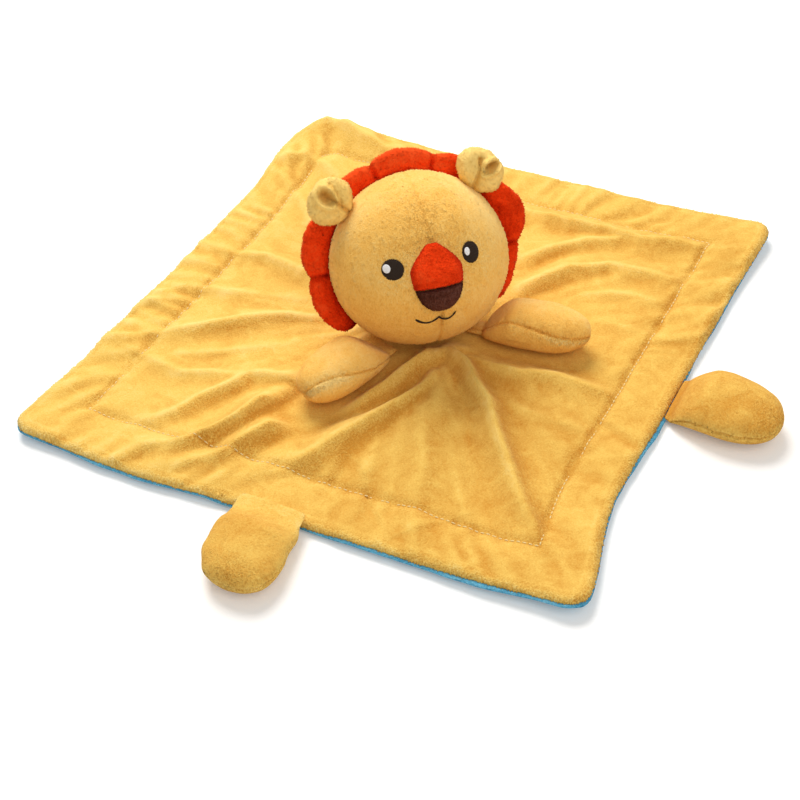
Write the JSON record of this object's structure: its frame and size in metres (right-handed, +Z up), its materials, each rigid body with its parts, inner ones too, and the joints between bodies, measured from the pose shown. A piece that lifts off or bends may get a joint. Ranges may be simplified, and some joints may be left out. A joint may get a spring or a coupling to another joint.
{
  "type": "comfort blanket lovey",
  "caption": "Stuffed lion head with a scalloped mane, ears, arms and feet on a small square plush comfort blanket.",
  "frame": {"origin": "middle of the blanket's underside, on the surface that the blanket lies on, under the head", "axes": "+Z up; -Y is the way the lion faces, towards the blanket's front corner; +X is to the viewer's right, towards its right corner"},
  "size_m": [0.4615, 0.4603, 0.1058],
  "materials": {
    "yellow_plush": "short golden plush",
    "blue_plush": "short sky-blue plush",
    "red_plush": "short red plush",
    "brown_plush": "short dark brown plush",
    "brown_thread": "satin stitch",
    "white_thread": "satin stitch",
    "filling": "loose polyester fibre"
  },
  "bodies": {
    "blanket": {"blanket_top": "yellow_plush", "blanket_backing": "blue_plush"},
    "head": {"face_left": "yellow_plush", "face_right": "yellow_plush", "head_back_left": "yellow_plush", "head_back_right": "yellow_plush", "head_filling": "filling", "mane_front": "red_plush", "mane_back": "red_plush", "mane_wadding": "filling", "nose_bridge": "red_plush", "nose_tip": "brown_plush", "nose_filling": "filling", "eye_left": "brown_thread", "eye_right": "brown_thread", "eye_glint_left": "white_thread", "eye_glint_right": "white_thread", "mouth_stitch": "brown_thread"},
    "ear_left": {"ear_left_front": "yellow_plush", "ear_left_back": "yellow_plush"},
    "ear_right": {"ear_right_front": "yellow_plush", "ear_right_back": "yellow_plush"},
    "arm_left": {"arm_left_upper": "yellow_plush", "arm_left_under": "yellow_plush", "arm_left_filling": "filling"},
    "arm_right": {"arm_right_upper": "yellow_plush", "arm_right_under": "yellow_plush", "arm_right_filling": "filling"},
    "foot_left": {"foot_left_upper": "yellow_plush", "foot_left_sole": "yellow_plush", "foot_left_filling": "filling"},
    "foot_right": {"foot_right_upper": "yellow_plush", "foot_right_sole": "yellow_plush", "foot_right_filling": "filling"}
  },
  "joints": [
    {"name": "neck_nod", "type": "hinge", "parent": "blanket", "child": "head", "pos_m": [0.003, -0.006, 0.0076], "axis": [0.999, -0.0436, 0], "range_deg": [-12, 3], "stiffness_Nm_per_rad": 0.08},
    {"name": "ear_left_fold", "type": "hinge", "parent": "head", "child": "ear_left", "pos_m": [-0.03056, -0.00283, 0.09063], "axis": [0.7026, 0.3102, 0.6405], "range_deg": [0, 45], "stiffness_Nm_per_rad": 0.003},
    {"name": "ear_right_fold", "type": "hinge", "parent": "head", "child": "ear_right", "pos_m": [0.03671, -0.00577, 0.09063], "axis": [0.6728, -0.3702, -0.6405], "range_deg": [0, 45], "stiffness_Nm_per_rad": 0.003},
    {"name": "arm_left_lift", "type": "hinge", "parent": "blanket", "child": "arm_left", "pos_m": [-0.02298, -0.021, 0.0087], "axis": [-0.4695, 0.8829, 0], "range_deg": [0, 6]},
    {"name": "arm_right_lift", "type": "hinge", "parent": "blanket", "child": "arm_right", "pos_m": [0.02898, -0.021, 0.0087], "axis": [-0.6428, -0.766, 0], "range_deg": [0, 6]},
    {"name": "foot_left_lift", "type": "hinge", "parent": "blanket", "child": "foot_left", "pos_m": [-0.11888, -0.1217, 0.0029], "axis": [-0.7071, 0.7071, 0], "range_deg": [-75, 60]},
    {"name": "foot_right_lift", "type": "hinge", "parent": "blanket", "child": "foot_right", "pos_m": [0.1123, -0.11655, 0.0029], "axis": [-0.7071, -0.7071, 0], "range_deg": [-75, 60]}
  ]
}
